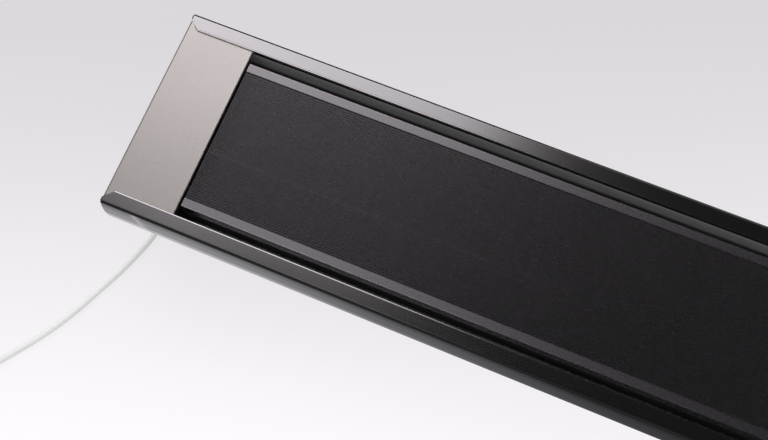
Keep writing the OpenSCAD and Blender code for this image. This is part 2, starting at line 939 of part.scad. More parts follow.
// The flex's sheath inside the box, and its three cores up to the block
module supply_sheath() {
    block_z = back_z - box_t - block_h + 8;
    sheath_end = block_x - 9;
    color("white") rod([-box_x + box_t + 6, 0, axis_h], [sheath_end, 0, axis_h], cord_r);
    color("white") for (k = [-1, 0, 1])
        tube([
            [sheath_end, 2 * k, axis_h], [sheath_end + 2, 3 * k, axis_h],
            [block_x - 2, (way_pitch - 1) * k, block_z - 1],
            [block_x + 1, way_pitch * k, block_z], [block_x + 6, way_pitch * k, block_z]
        ], 0.9, 8);
}

// Side shape of a bracket: ears round the pivot that widen to a web of full length
module ear_block(half, foot_half, web_half, web_z0, web_z1) {
    foot_z = abs(web_z0 - axis_h) < abs(web_z1 - axis_h) ? web_z1 : web_z0;
    union() {
        along_x(-half, half) translate([0, axis_h]) circle(ear_r);
        along_x(-half, half) polygon([
            [-ear_r, axis_h], [-foot_half, foot_z], [foot_half, foot_z], [ear_r, axis_h]
        ]);
        along_x(-half, half) span([-web_half, web_z0], [web_half, web_z1]);
    }
}

// A channel bent from sheet: flat web at web_z, two walls towards wall_z, in X and Z
module channel_section(half, web_z, wall_z) {
    up = wall_z > web_z;
    inner_z = up ? web_z + steel_t : web_z - steel_t;
    outer_r = steel_t + 2;
    difference() {
        span([-half, min(web_z, wall_z)], [half, max(web_z, wall_z)]);
        corner_cut(half, web_z, outer_r, up ? 3 : 0);
        corner_cut(-half, web_z, outer_r, up ? 2 : 1);
        difference() {
            span(
                [-half + steel_t, min(inner_z, wall_z) - (up ? 0 : 1)],
                [half - steel_t, max(inner_z, wall_z) + (up ? 1 : 0)]
            );
            corner_cut(half - steel_t, inner_z, 2, up ? 3 : 0);
            corner_cut(-half + steel_t, inner_z, 2, up ? 2 : 1);
        }
    }
}

module base_plan(half_x, half_y, r) {
    difference() {
        square([2 * half_x, 2 * half_y], center = true);
        for (q = [0 : 3])
            corner_cut(half_x * [1, -1, -1, 1][q], half_y * [1, 1, -1, -1][q], r, q);
    }
}

// Wall bracket: a base with two screw holes and two ears
module base_bracket(x) {
    half = fork_w / 2 + steel_t;
    color("silver") translate([x, 0, 0]) difference() {
        intersection() {
            along_y(-base_l / 2, base_l / 2) channel_section(half, 0, axis_h + ear_r);
            ear_block(half, base_l / 2 - 14, base_l / 2, 0, steel_t);
            linear_extrude(axis_h + ear_r + 1) base_plan(half + 8, base_l / 2, 8);
        }
        for (s = [-1, 1]) translate([0, s * wall_pitch / 2, -1])
            cylinder(h = steel_t + 2, r = wall_hole_d / 2);
        translate([-half - 1, 0, axis_h]) rotate([0, 90, 0])
            cylinder(h = 2 * half + 2, r = pivot_d / 2 + 0.05);
    }
}

module base_bracket_left() {
    base_bracket(-bracket_x);
}

module base_bracket_right() {
    base_bracket(bracket_x);
}

// Heater bracket: a plate on the heater's back and two ears inside the wall bracket's
module heater_bracket(x) {
    half = inner_w / 2;
    color("silver") translate([x, 0, 0]) difference() {
        intersection() {
            along_y(-heater_plate_l / 2, heater_plate_l / 2) channel_section(half, back_z, axis_h - ear_r);
            ear_block(half, heater_foot, heater_plate_l / 2, back_z - steel_t, back_z);
            translate([0, 0, axis_h - ear_r]) linear_extrude(axis_to_back + ear_r)
                base_plan(half, heater_plate_l / 2, 5);
        }
        for (sx = [-1, 1], sy = [-1, 1]) translate([sx * tbolt_x, sy * slot_y, back_z - steel_t - 1])
            cylinder(h = steel_t + 2, r = tbolt_r + 0.3);
        translate([-half - 1, 0, axis_h]) rotate([0, 90, 0])
            cylinder(h = 2 * half + 2, r = pivot_d / 2 + pivot_play);
    }
}

module heater_bracket_left() {
    heater_bracket(-bracket_x);
}

module heater_bracket_right() {
    heater_bracket(bracket_x);
}

module tbolt_places() {
    for (x = [-bracket_x, bracket_x], sx = [-1, 1], sy = [-1, 1])
        translate([x + sx * tbolt_x, sy * slot_y, back_z]) children();
}

module t_bolts() {
    head = cavity_w - 0.6;
    color("gray") tbolt_places() {
        translate([-head / 2, -head / 2, slot_lip_t]) cube([head, head, cavity_h - 0.6]);
        translate([0, 0, -steel_t - nut_h - 1.5])
            cylinder(h = steel_t + nut_h + 1.6 + slot_lip_t, r = tbolt_r);
    }
}

module t_nuts() {
    color("gray") tbolt_places() translate([0, 0, -steel_t - nut_h]) difference() {
        union() {
            hexagon(nut_af, nut_h);
            translate([0, 0, nut_h - 1]) cylinder(h = 1, r = 6.2);
        }
        translate([0, 0, -1]) cylinder(h = nut_h + 2, r = tbolt_r + 0.02);
    }
}

// Pivot hardware, on the axis through both brackets
module pivot_places() {
    for (x = [-bracket_x, bracket_x]) translate([x, 0, axis_h]) rotate([0, 90, 0]) children();
}

module pivot_bolts() {
    half = fork_w / 2 + steel_t;
    color("gray") pivot_places() {
        translate([0, 0, half]) difference() {
            rotate(30) hexagon(pivot_af, pivot_head);
            translate([0, 0, pivot_head]) rotate_extrude()
                polygon([[pivot_af / 2, 0.1], [9, 0.1], [9, -1.4]]);
        }
        translate([0, 0, -half - 9]) cylinder(h = 2 * half + 9.1, r = pivot_d / 2);
    }
}

module pivot_nuts() {
    half = fork_w / 2 + steel_t;
    color("gray") pivot_places() translate([0, 0, -half - 6.5]) difference() {
        rotate(30) hexagon(pivot_af, 6.5);
        translate([0, 0, -1]) cylinder(h = 9, r = pivot_d / 2 + 0.02);
    }
}

module pivot_washers() {
    color("black") pivot_places() for (s = [0, 1]) mirror([0, 0, s])
        translate([0, 0, fork_w / 2 - washer_t]) difference() {
            cylinder(h = washer_t, r = ear_r - 2);
            translate([0, 0, -1]) cylinder(h = washer_t + 2, r = pivot_d / 2 + 0.05);
        }
}

// Sweeps a round tube with flat sides along the points
function unit(v) = v / norm(v);
function tangent(p, i) =
    i == 0 ? unit(p[1] - p[0]) :
    i == len(p) - 1 ? unit(p[i] - p[i - 1]) :
    unit(unit(p[i + 1] - p[i]) + unit(p[i] - p[i - 1]));
function side_of(t) = abs(t[2]) > 0.9 ? unit(cross(t, [0, 1, 0])) : unit(cross(t, [0, 0, 1]));
// Carries the side vector from ring to ring without twist
function sides(p, i = 0, last = undef) =
    i == len(p) ? [] :
    let(
        t = tangent(p, i),
        raw = last == undef ? side_of(t) : last,
        s = unit(raw - t * (raw * t))
    ) concat([s], sides(p, i + 1, s));

module tube(p, r, n) {
    s = sides(p);
    rings = len(p);
    points = [
        for (i = [0 : rings - 1]) let(t = tangent(p, i), u = s[i], w = cross(t, s[i]))
            for (k = [0 : n - 1]) p[i] + r * (cos(360 * k / n) * u + sin(360 * k / n) * w)
    ];
    walls = [
        for (i = [0 : rings - 2], k = [0 : n - 1])
            let(a = i * n + k, b = i * n + (k + 1) % n)
                each [[a, a + n, b], [b, a + n, b + n]]
    ];
    starts = [for (k = [1 : n - 2]) [0, k, k + 1]];
    last = (rings - 1) * n;
    ends = [for (k = [1 : n - 2]) [last, last + k + 1, last + k]];
    polyhedron(points = points, faces = concat(walls, starts, ends));
}

// Carries the cord's X from the nose to the part's own frame
module from_nose() {
    translate([nose_x, 0, 0]) children();
}

module cord_run() {
    color("white") from_nose() tube(RUN, cord_r, 8);
}

module cord_tail() {
    color("white") from_nose() tube(TAIL, cord_r, 8);
}

// The coil's centre line: t counts turns from its start
half_turns = coil_turns / 2;
function ease(t) = t <= 0 ? 0 : t >= 1 ? 1 : t * t * (3 - 2 * t);
function coil_radius(t) = coil_r - coil_step * (half_turns - abs(t - half_turns));
function coil_height(t) = coil_z + coil_step * ease((t - half_turns + 0.25) * 2);
function coil_point(t) =
    let(a = coil_angle - 360 * t)
        [for (k = [0, 1]) coil_centre[k] + coil_radius(t) * [cos(a), sin(a)][k], coil_height(t)];
coil_rings = round(coil_turns * RINGS_A_TURN);
coil_loops = [for (i = [0 : coil_rings]) coil_point(i * coil_turns / coil_rings)];
coil_in = [sin(coil_angle), -cos(coil_angle), 0];
coil_end_angle = coil_angle - 360 * coil_turns;
coil_out = [sin(coil_end_angle), -cos(coil_end_angle), 0];
coil_path = concat(
    [coil_loops[0] - cord_d * coil_in], coil_loops, [coil_loops[coil_rings] + cord_d * coil_out]
);
// Least gap between turns, measured from point to point a third of a turn or more apart
coil_gap = min([
    for (i = [0 : coil_rings], j = [0 : coil_rings])
        if (j - i > RINGS_A_TURN / 3) norm(coil_loops[i] - coil_loops[j])
]) - cord_d;
echo(coil_gap = coil_gap);

module cord_coil() {
    color("white") from_nose() tube(coil_path, cord_r, 6);
}

// A strap round the bundle of loops
module cord_tie() {
    gap = 0.3;
    low_r = coil_radius(half_turns) - cord_r - gap;
    high_r = coil_r + cord_r + gap;
    top = coil_z + coil_step + cord_r + gap;
    bottom = tie_t;
    color("dimgray") from_nose() translate([coil_centre[0], coil_centre[1], 0]) rotate([0, 0, 90])
        along_y(-tie_w / 2, tie_w / 2) difference() {
            span([low_r - tie_t, bottom - tie_t], [high_r + tie_t, top + tie_t]);
            span([low_r, bottom], [high_r, top]);
            corner_cut(low_r - tie_t, top + tie_t, 2, 1);
            corner_cut(high_r + tie_t, top + tie_t, 2, 0);
        }
}

// Round earthed plug: rim on the floor, pins pointing along +Y
module plug_axis() {
    from_nose() translate([plug_x, plug_y, plug_r]) rotate([-90, 0, 0]) children();
}

module plug_body() {
    sleeve_l = 24;
    color("white") plug_axis() difference() {
        rotate_extrude() polygon([
            [0, 0], [cord_r + 1.2, 0], [6.5, sleeve_l], [14, sleeve_l + 7], [plug_r - 1, plug_l - 13],
            [plug_r, plug_l - 12], [plug_r, plug_l - 1], [plug_r - 1, plug_l], [0, plug_l]
        ]);
        for (s = [-1, 1]) translate([-4, s * (plug_r + 0.4) - 2, plug_l - 12]) cube([8, 4, 13]);
        for (i = [0 : 3]) translate([0, 0, 4 + 4.5 * i]) difference() {
            cylinder(h = 1.8, r = 10);
            translate([0, 0, -1]) cylinder(h = 4, r = cord_r + 1);
        }
    }
}

module plug_pins() {
    color("silver") plug_axis() for (s = [-1, 1]) translate([s * pin_pitch / 2, 0, plug_l]) rotate_extrude()
        polygon([[0, 0], [2.4, 0], [2.4, pin_l - 1.5], [1.2, pin_l], [0, pin_l]]);
}

module plug_earth_clips() {
    color("silver") plug_axis() for (s = [-1, 1])
        translate([-3, s * (plug_r - 1.1) - 0.4, plug_l - 11.9]) cube([6, 0.8, 11]);
}

rail_upper();
rail_lower();
seal_upper();
seal_lower();
rail_plugs();
rail_plug_screws();
end_cap_left();
end_cap_right();
end_cap_screws();
radiant_panel();
element_upper();
element_lower();
element_terminals();
element_link();
clamp_bars();
clamp_screws();
standoffs();
insulation_board();
reflector_tray();
end_stay_left();
end_stay_right();
rear_cover();
cover_screws();
terminal_box();
box_gasket();
box_lid();
box_lid_screws();
box_mount_screws();
gland_body();
gland_locknut();
gland_dome_nut();
bend_protector();
terminal_block();
thermal_cutout();
earth_stud();
lead_grommets();
inner_leads();
supply_sheath();
heater_bracket_left();
heater_bracket_right();
t_bolts();
t_nuts();
base_bracket_left();
base_bracket_right();
pivot_bolts();
pivot_nuts();
pivot_washers();
cord_run();
cord_coil();
cord_tail();
cord_tie();
plug_body();
plug_pins();
plug_earth_clips();
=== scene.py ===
"""The looks of an infrared patio heater on its tilting wall brackets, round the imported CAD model.

X runs along the heater, Y across it and Z up, in metres. The radiant panel faces up and the wall
side is at Z = 0.
"""
import math

import bpy
from mathutils import Matrix, Vector


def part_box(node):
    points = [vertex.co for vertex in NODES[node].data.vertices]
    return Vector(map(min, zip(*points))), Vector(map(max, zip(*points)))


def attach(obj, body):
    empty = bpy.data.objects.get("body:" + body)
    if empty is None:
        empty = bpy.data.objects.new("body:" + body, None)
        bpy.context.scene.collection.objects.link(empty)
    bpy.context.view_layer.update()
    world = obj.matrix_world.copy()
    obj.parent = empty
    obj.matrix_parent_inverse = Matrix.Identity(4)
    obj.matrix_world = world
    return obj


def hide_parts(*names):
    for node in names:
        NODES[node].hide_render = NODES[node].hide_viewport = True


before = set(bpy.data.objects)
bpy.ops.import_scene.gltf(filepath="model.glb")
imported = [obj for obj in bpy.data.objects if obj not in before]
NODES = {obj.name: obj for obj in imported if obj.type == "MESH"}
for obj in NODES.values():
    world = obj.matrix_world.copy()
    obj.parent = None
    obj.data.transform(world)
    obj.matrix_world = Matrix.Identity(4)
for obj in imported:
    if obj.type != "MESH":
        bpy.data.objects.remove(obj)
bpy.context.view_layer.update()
MM = 0.001

# ---------------------------------------------------------------- camera

# Fitted to the straight edges in the photo; positions in mm, focal length and shift in pixels.
FOCAL_PX = 1348.7
FRAME_W = 768
SENSOR = 36.0
CAMERA_AT = Vector((-52.8, -343.1, 1268.4)) * MM
CAMERA_RIGHT = Vector((0.91263, 0.40095, -0.07967))
CAMERA_DOWN = Vector((0.36473, -0.88666, -0.28426))
SHIFT_PX = (42.4, 41.2)
CLIP = (0.05, 50.0)


def make_camera():
    data = bpy.data.cameras.new("camera")
    data.sensor_width = SENSOR
    data.lens = FOCAL_PX / FRAME_W * SENSOR
    data.clip_start, data.clip_end = CLIP
    data.shift_x, data.shift_y = (px / FRAME_W for px in SHIFT_PX)
    camera = bpy.data.objects.new("camera", data)
    right = CAMERA_RIGHT.normalized()
    up = -(CAMERA_DOWN - right * CAMERA_DOWN.dot(right)).normalized()
    turn = Matrix((right, up, right.cross(up))).transposed().to_4x4()
    camera.matrix_world = Matrix.Translation(CAMERA_AT) @ turn
    bpy.context.scene.collection.objects.link(camera)
    bpy.context.scene.camera = camera


make_camera()

# ---------------------------------------------------------------- shader nodes

EVEN = (1, 1, 1)
BLACK = (0.0, 0.0, 0.0, 1.0)
NOISE_ROUGHNESS = 0.55


class Tree:
    """Adds nodes to a material's or world's tree."""

    def __init__(self, owner):
        owner.use_nodes = True
        self.tree = owner.node_tree
        self.tree.nodes.clear()

    def add(self, kind, inputs=None, **props):
        """A node whose inputs are either linked to a socket or set to a value."""
        node = self.tree.nodes.new("ShaderNode" + kind)
        for name, value in props.items():
            setattr(node, name, value)
        for name, value in (inputs or {}).items():
            if isinstance(value, bpy.types.NodeSocket):
                self.tree.links.new(value, node.inputs[name])
            else:
                node.inputs[name].default_value = value
        return node

    def math(self, operation, a, b=0.0, c=0.0, clamp=False):
        node = self.add("Math", {0: a, 1: b, 2: c}, operation=operation, use_clamp=clamp)
        return node.outputs[0]

    def join(self, operation, first, *others):
        """Several values brought together by one operation."""
        for value in others:
            first = self.math(operation, first, value)
        return first

    def step(self, value, low, high, to_low=0.0, to_high=1.0):
        """A smooth step from to_low at low to to_high at high."""
        node = self.add(
            "MapRange", {0: value, 1: low, 2: high, 3: to_low, 4: to_high},
            interpolation_type="SMOOTHSTEP",
        )
        return node.outputs[0]

    def mask(self, places, steps):
        """The product of smooth steps, each given as a place's name and what step() takes."""
        return self.join("MULTIPLY", *(self.step(places[name], *limits) for name, *limits in steps))

    def share(self, value, low, high):
        """How far the value lies from low to high, from 0 to 1."""
        scale = 1.0 / (high - low)
        return self.math("MULTIPLY_ADD", value, scale, -low * scale, clamp=True)

    def ramp(self, value, stops):
        """The colour at a value from 0 to 1, between stops of (place, colour)."""
        node = self.add("ValToRGB", {0: value})
        element = node.color_ramp.elements
        while len(element) < len(stops):
            element.new(0.5)
        for slot, (place, colour) in zip(element, stops):
            slot.position = place
            slot.color = rgba(colour)
        return node.outputs[0]

    def blend(self, factor, a, b):
        return self.add("Mix", {0: factor, 6: a, 7: b}, data_type="RGBA").outputs[2]

    def mix(self, factor, a, b):
        """A shader that goes from a to b."""
        return self.add("MixShader", {0: factor, 1: a, 2: b}).outputs[0]

    def split(self, vector):
        return self.add("SeparateXYZ", {0: vector}).outputs

    def place(self, scale=EVEN):
        """Coordinates of the object at rest in metres, stretched by scale."""
        texture = self.add("TexCoord")
        return self.add("Mapping", {0: texture.outputs["Object"], 3: scale}).outputs[0]

    def noise(self, scale, coords, detail):
        node = self.add("TexNoise", {
            "Vector": coords, "Scale": scale, "Detail": detail, "Roughness": NOISE_ROUGHNESS,
        })
        return node.outputs[0]


def grey(value):
    return (value, value, value)


def rgba(colour):
    return (*colour, 1.0)


# ---------------------------------------------------------------- materials

CLOUD_SCALE = 9.0  # patches of slightly other colour, per metre
CLOUD_DETAIL = 4.0
CLOUD_STOPS = (0.3, 0.7)
GRAIN_DETAIL = 2.0
RIM = (0.51, 0.56)  # pointiness at which an edge starts to look worn and at which it is fully so
RIM_GAIN = 1.6
RIM_LIFT = 0.05

# Limits in metres, each pair from where a smooth step starts to where it ends.
FIELD_EDGE = (0.0674, 0.0668)  # half the width of the panel's textured field, which carries painted shade
FIELD_PAINTED_SHADE = 0.5  # painted shade: how much darker the field is painted than the panel's smooth strips
CORNER_Y = (-0.0979, -0.0985)  # painted shade on the lower rail's outer top corner
CORNER_Z = (0.1300, 0.1310)
CORNER_PAINTED_SHADE = 0.66
CHANNEL_Y = (0.0873, 0.0868)  # the rails' walls towards the panel, under the lips, where light and shade are painted
CHANNEL_Z = (0.1272, 0.1255)
CHANNEL_DEPTH = (0.1255, 0.098)
CHANNEL_GREEN = 0.98
CHANNEL_PAINTED_SHADING = [  # painted light and shade on the wall, from under the lip down to the tray: dark under the lip, lightest part way down, dark again near the tray
    (0.0, 0.22), (0.07, 0.26), (0.3, 0.4), (0.6, 0.68), (0.76, 0.5), (0.88, 0.27), (1.0, 0.1),
]


def field_painted_shade(t):
    """Painted shade that makes the panel's textured field darker than its smooth strips."""
    y = t.split(t.place())[1]
    return t.step(t.math("ABSOLUTE", y), *FIELD_EDGE, 0.0, FIELD_PAINTED_SHADE)


def corner_painted_shade(t):
    """Painted shade that darkens the lower rail's outer top corner."""
    _, y, z = t.split(t.place())
    return t.math("MULTIPLY", t.step(y, *CORNER_Y), t.step(z, *CORNER_Z, 0.0, CORNER_PAINTED_SHADE))


def channel_painted_shading(t, polished):
    """The rails' matt walls towards the panel, with painted light and shade from under the lip down
    to the tray, and the polished finish everywhere else.
    """
    _, y, z = t.split(t.place())
    within = t.math("MULTIPLY", t.step(t.math("ABSOLUTE", y), *CHANNEL_Y), t.step(z, *CHANNEL_Z))
    wall = t.ramp(t.step(z, *CHANNEL_DEPTH), [
        (stop, (value, value * CHANNEL_GREEN, value)) for stop, value in CHANNEL_PAINTED_SHADING
    ])
    return t.mix(within, polished, t.add("BsdfDiffuse", {0: wall}).outputs[0])


def surface(name, base, metallic, roughness, spread, tint, grain, bump, stretch=EVEN, edge=0.0,
            sheen=0.0, specular=0.5, shade=None, lining=None):
    """A finish with its own variation of colour and gloss and with a fine grain.

    roughness varies by spread and the base colour by tint; grain is the number of grains per metre,
    bump their height in mm and stretch draws them out along an axis; edge lightens worn edges,
    shade gives the part that painted shade darkens and lining adds a second finish with painted
    light and shade.
    """
    material = bpy.data.materials.new(name)
    t = Tree(material)
    cloud = t.noise(CLOUD_SCALE, t.place(), CLOUD_DETAIL)
    fine = t.noise(grain, t.place(stretch), GRAIN_DETAIL)
    tints = (
        tuple(c * (1 - tint) for c in base),
        tuple(min(c * (1 + tint), 1.0) for c in base),
    )
    colour = t.ramp(cloud, list(zip(CLOUD_STOPS, tints)))
    if shade:
        colour = t.blend(shade(t), colour, BLACK)
    if edge:
        rim = t.step(t.add("NewGeometry").outputs["Pointiness"], *RIM, 0.0, edge)
        worn = tuple(min(c * RIM_GAIN + RIM_LIFT, 1.0) for c in base)
        colour = t.blend(rim, colour, rgba(worn))
    varied = t.math("MULTIPLY", fine, spread)
    lift = t.add("Bump", {"Strength": 1.0, "Distance": bump * MM, "Height": fine})
    shader = t.add("BsdfPrincipled", {
        "Base Color": colour, "Metallic": metallic, "Sheen Weight": sheen,
        "Roughness": t.math("ADD", roughness - spread / 2, varied, clamp=True),
        "Specular IOR Level": specular, "Normal": lift.outputs[0],
    }).outputs[0]
    if lining:
        shader = lining(t, shader)
    t.add("OutputMaterial", {0: shader})
    return material


FINISHES = {
    # The rails' finish also has painted light and shade on the walls under the lips.
    # The rails' finish has painted shade on the lower rail's outer top corner.
    "rail_aluminium": surface(
        "rail_polished", (0.472, 0.45, 0.468), metallic=1.0, roughness=0.14, spread=0.02, tint=0.03,
        grain=900, bump=0.0002, stretch=(0.02, 1, 1), shade=corner_painted_shade, lining=channel_painted_shading,
    ),
    "cap_satin": surface(
        "cap_brushed", (0.638, 0.593, 0.58), metallic=1.0, roughness=0.27, spread=0.02, tint=0.02,
        grain=1500, bump=0.0002, stretch=(1, 0.02, 1),
    ),
    # The panel's finish darkens its textured field with painted shade.
    "panel_dark": surface(
        "panel_anodised", (0.33, 0.308, 0.33), metallic=1.0, roughness=0.27, spread=0.03, tint=0.03,
        grain=1100, bump=0.0003, stretch=(0.2, 1, 1), shade=field_painted_shade,
    ),
    "seal_black": surface(
        "seal_rubber", (0.012, 0.012, 0.013), metallic=0.0, roughness=0.62, spread=0.1, tint=0.1,
        grain=600, bump=0.01, specular=0.25,
    ),
    "sheet_aluminium": surface(
        "sheet_mill", (0.56, 0.56, 0.57), metallic=1.0, roughness=0.38, spread=0.12, tint=0.04,
        grain=700, bump=0.002, stretch=(0.03, 1, 1),
    ),
    "bracket_steel": surface(
        "bracket_powder", (0.32, 0.32, 0.33), metallic=0.0, roughness=0.42, spread=0.1, tint=0.04,
        grain=1100, bump=0.03, edge=0.25,
    ),
    "fastener_steel": surface(
        "fastener_zinc", (0.55, 0.55, 0.56), metallic=1.0, roughness=0.33, spread=0.15, tint=0.06,
        grain=900, bump=0.004, edge=0.2,
    ),
    "element_sheath": surface(
        "element_heat_dark", (0.17, 0.155, 0.145), metallic=1.0, roughness=0.5, spread=0.2,
        tint=0.2, grain=300, bump=0.006,
    ),
    "ceramic": surface(
        "ceramic_unglazed", (0.78, 0.74, 0.66), metallic=0.0, roughness=0.72, spread=0.1, tint=0.05,
        grain=800, bump=0.01,
    ),
    # Painted shade: the insulation board is near black, so the channel beside the panel stays dark.
    "mineral_wool": surface(
        "board_fleece", (0.05, 0.05, 0.052), metallic=0.0, roughness=0.95, spread=0.05, tint=0.2,
        grain=260, bump=0.25, stretch=(1, 1, 3), specular=0.2,
    ),
    "dark_plastic": surface(
        "plastic_black", (0.022, 0.022, 0.024), metallic=0.0, roughness=0.5, spread=0.12, tint=0.08,
        grain=1300, bump=0.012,
    ),
    "cord_white": surface(
        "cord_sheath", (0.80, 0.80, 0.79), metallic=0.0, roughness=0.46, spread=0.1, tint=0.02,
        grain=700, bump=0.01,
    ),
    "plug_white": surface(
        "plug_moulded", (0.79, 0.79, 0.78), metallic=0.0, roughness=0.38, spread=0.08, tint=0.02,
        grain=1300, bump=0.008,
    ),
    "contact_nickel": surface(
        "contact_nickel", (0.66, 0.63, 0.57), metallic=1.0, roughness=0.22, spread=0.12, tint=0.04,
        grain=900, bump=0.002,
    ),
    "lead_silicone": surface(
        "lead_sleeve", (0.36, 0.06, 0.04), metallic=0.0, roughness=0.6, spread=0.1, tint=0.1,
        grain=1400, bump=0.03,
    ),
    "tie_grey": surface(
        "tie_hook_loop", (0.11, 0.11, 0.115), metallic=0.0, roughness=0.9, spread=0.05, tint=0.2,
        grain=1500, bump=0.12, sheen=0.4,
    ),
}

# The pieces that have each finish.
MEMBERS = {
    "rail_aluminium": "rail_upper rail_lower rail_plugs",
    "cap_satin": "end_cap_left end_cap_right",
    # Painted shade: the reflector tray has the panel's dark finish, so the channel beside the panel
    # stays dark.
    "panel_dark": "radiant_panel reflector_tray",
    "seal_black": "seal_upper seal_lower box_gasket lead_grommets",
    "sheet_aluminium": "rear_cover end_stay_left end_stay_right terminal_box box_lid clamp_bars",
    "bracket_steel": "heater_bracket_left heater_bracket_right "
                     "base_bracket_left base_bracket_right",
    "fastener_steel": "rail_plug_screws end_cap_screws clamp_screws cover_screws box_lid_screws "
                      "box_mount_screws earth_stud t_bolts t_nuts pivot_bolts pivot_nuts "
                      "element_link",
    "element_sheath": "element_upper element_lower",
    "ceramic": "element_terminals standoffs terminal_block",
    "mineral_wool": "insulation_board",
    "dark_plastic": "gland_body gland_locknut gland_dome_nut thermal_cutout pivot_washers",
    "cord_white": "bend_protector supply_sheath cord_run cord_coil cord_tail",
    "plug_white": "plug_body",
    "contact_nickel": "plug_pins plug_earth_clips",
    "lead_silicone": "inner_leads",
    "tie_grey": "cord_tie",
}
SLOT_OF = {member: name for name, members in MEMBERS.items() for member in members.split()}

for name, node in NODES.items():
    for slot in node.material_slots:
        slot.material = FINISHES[SLOT_OF[name]]

# ---------------------------------------------------------------- cord

# Centre points in mm: RUN goes from the gland to the coil, TAIL from the coil to the plug.
CORD_D = 6.5
RUN = [
    (-440, 0, 62), (-448, 0, 62), (-459.5, 0, 59.7), (-469, 0, 53), (-475.7, 0, 43.5),
    (-478, 0, 32), (-478, -2.2, 21), (-478, -8.4, 11.7), (-478, -17.7, 5.5), (-478.3, -29, 3.3),
    (-479, -44, 3.3), (-480, -59, 3.3), (-481.3, -74, 3.3), (-483, -88, 3.3), (-487, -103, 3.3),
    (-492, -118, 3.3), (-497.5, -133, 3.3), (-504, -148, 3.3), (-511, -164, 3.3),
    (-518, -180, 3.3), (-526, -196, 3.3), (-535, -212, 3.3), (-544.5, -227, 3.3),
    (-555, -242, 3.4), (-565, -256, 3.7), (-574, -268.5, 4.1), (-583, -280.5, 4.4),
    (-588.1, -287.3, 4.4),
]
TAIL = [
    (-679.3, -256.88, 11.4), (-679.3, -250, 11.4), (-679.8, -240, 9.8), (-680.6, -230, 6.4),
    (-681.6, -220, 3.8), (-682.6, -210, 4.2), (-683.4, -200, 7.6), (-683.9, -190, 12.6),
    (-684, -181, 16.9), (-684, -172, 19), (-684, -165, 19),
]
COIL_START = (-592.0, -292.5)
COIL_ANGLE = math.radians(-36.87)
COIL_Z = 4.4
COIL_R = 48.5
COIL_TURNS = 5.3976
COIL_STEP = CORD_D + 0.5
COIL_CLIMB = 0.5  # turns that the coil takes from its lower to its upper layer
RINGS_A_TURN = 24
STEPS_A_PIECE = 4
ROUNDNESS = 6


def smooth(s):
    """0 to 1 with level ends."""
    return s * s * (3 - 2 * s)


def coil_points():
    """Two layers of loops that spiral in and out again, as the CAD coil does."""
    half = COIL_TURNS / 2
    centre_x = COIL_START[0] - COIL_R * math.cos(COIL_ANGLE)
    centre_y = COIL_START[1] - COIL_R * math.sin(COIL_ANGLE)
    count = round(COIL_TURNS * RINGS_A_TURN)
    points = []
    for i in range(count + 1):
        turn = i * COIL_TURNS / count
        rise = min(max((turn - half + COIL_CLIMB / 2) / COIL_CLIMB, 0.0), 1.0)
        radius = COIL_R - COIL_STEP * (half - abs(turn - half))
        angle = COIL_ANGLE - 2 * math.pi * turn
        points.append((
            centre_x + radius * math.cos(angle), centre_y + radius * math.sin(angle),
            COIL_Z + COIL_STEP * smooth(rise),
        ))
    return points


def smooth_line(points):
    """A centripetal curve through the points, as close points on it."""
    p = [Vector(q) for q in points]
    p = [2 * p[0] - p[1]] + p + [2 * p[-1] - p[-2]]
    line = [p[1]]
    for a, b, c, d in zip(p, p[1:], p[2:], p[3:]):
        ab, bc, cd = ((y - x).length ** 0.5 for x, y in ((a, b), (b, c), (c, d)))
        start = ((b - a) / ab - (c - a) / (ab + bc) + (c - b) / bc) * bc
        end = ((c - b) / bc - (d - b) / (bc + cd) + (d - c) / cd) * bc
        for k in range(1, STEPS_A_PIECE + 1):
            s = k / STEPS_A_PIECE
            line.append(
                b * (2 * s ** 3 - 3 * s ** 2 + 1) + start * (s ** 3 - 2 * s ** 2 + s)
                + c * (3 * s ** 2 - 2 * s ** 3) + end * (s ** 3 - s ** 2)
            )
    return line


def make_cord():
    """The flex from the gland over its coil to the plug, as one smooth tube."""
    line = [q * MM for q in smooth_line(RUN + coil_points() + TAIL)]
    curve = bpy.data.curves.new("flex", "CURVE")
    curve.dimensions = "3D"
    curve.bevel_depth = CORD_D / 2 * MM
    curve.bevel_resolution = ROUNDNESS
    curve.use_fill_caps = True
    spline = curve.splines.new("POLY")
    spline.points.add(len(line) - 1)
    for point, place in zip(spline.points, line):
        point.co = (*place, 1.0)
    spline.use_smooth = True
    flex = bpy.data.objects.new("flex", curve)
    bpy.context.scene.collection.objects.link(flex)
    curve.materials.append(FINISHES["cord_white"])
    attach(flex, "mount")
    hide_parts("cord_run", "cord_coil", "cord_tail")


make_cord()

# ---------------------------------------------------------------- pyramid texture of the panel

FIELD_PITCH = 2.3 * MM
FIELD_LIFT = 0.6 * MM  # the height of a pyramid
FIELD_SINK = 0.02 * MM  # how far the sheet of pyramids reaches into the recess floor
FIELD_DROP = 0.8 * MM  # how deep the recess lies under the strips
STRIP_W = 8.5 * MM
DIE_LINE_Y = -18.0 * MM
DIE_LINE_LIFT = 0.92 * FIELD_LIFT


